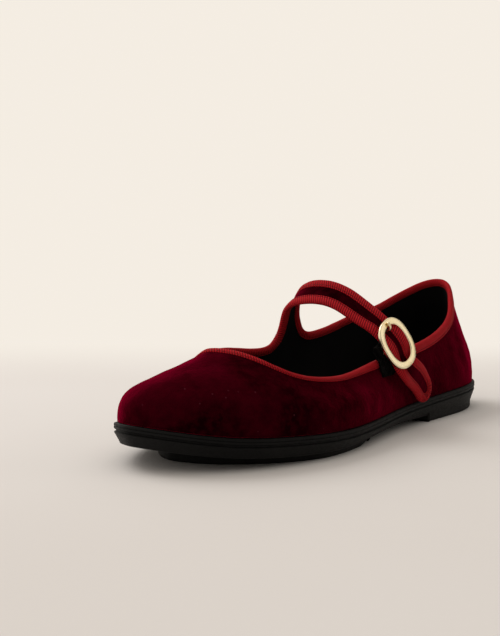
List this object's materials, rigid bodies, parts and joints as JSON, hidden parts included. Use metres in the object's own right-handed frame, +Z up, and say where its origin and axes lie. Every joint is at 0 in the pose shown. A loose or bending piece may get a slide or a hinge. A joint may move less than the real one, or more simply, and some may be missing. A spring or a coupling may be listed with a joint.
{
  "type": "ballet flat",
  "caption": "Left strapped ballet flat: low velvet upper with taped edges, instep strap through an oval buckle, and a flat rubber sole with a low heel.",
  "frame": {"origin": "under the middle of the shoe's box, on the plane that the heel and the forefoot stand on", "axes": "+X from heel to toe, +Y to the outer (lateral) side, +Z up"},
  "size_m": [0.25, 0.0862, 0.0733],
  "materials": {
    "sole_rubber": "satin, moulded",
    "footbed": "matt",
    "velvet": "velvet pile",
    "ribbed_tape": "ribbed weave",
    "gilt": "pale gold, satin",
    "elastic": "woven elastic"
  },
  "bodies": {
    "root": {"outsole": "sole_rubber", "insole": "footbed", "upper": "velvet", "binding": "ribbed_tape", "elastic_tab": "elastic", "buckle_frame": "gilt", "buckle_pin": "gilt"}
  },
  "joints": []
}
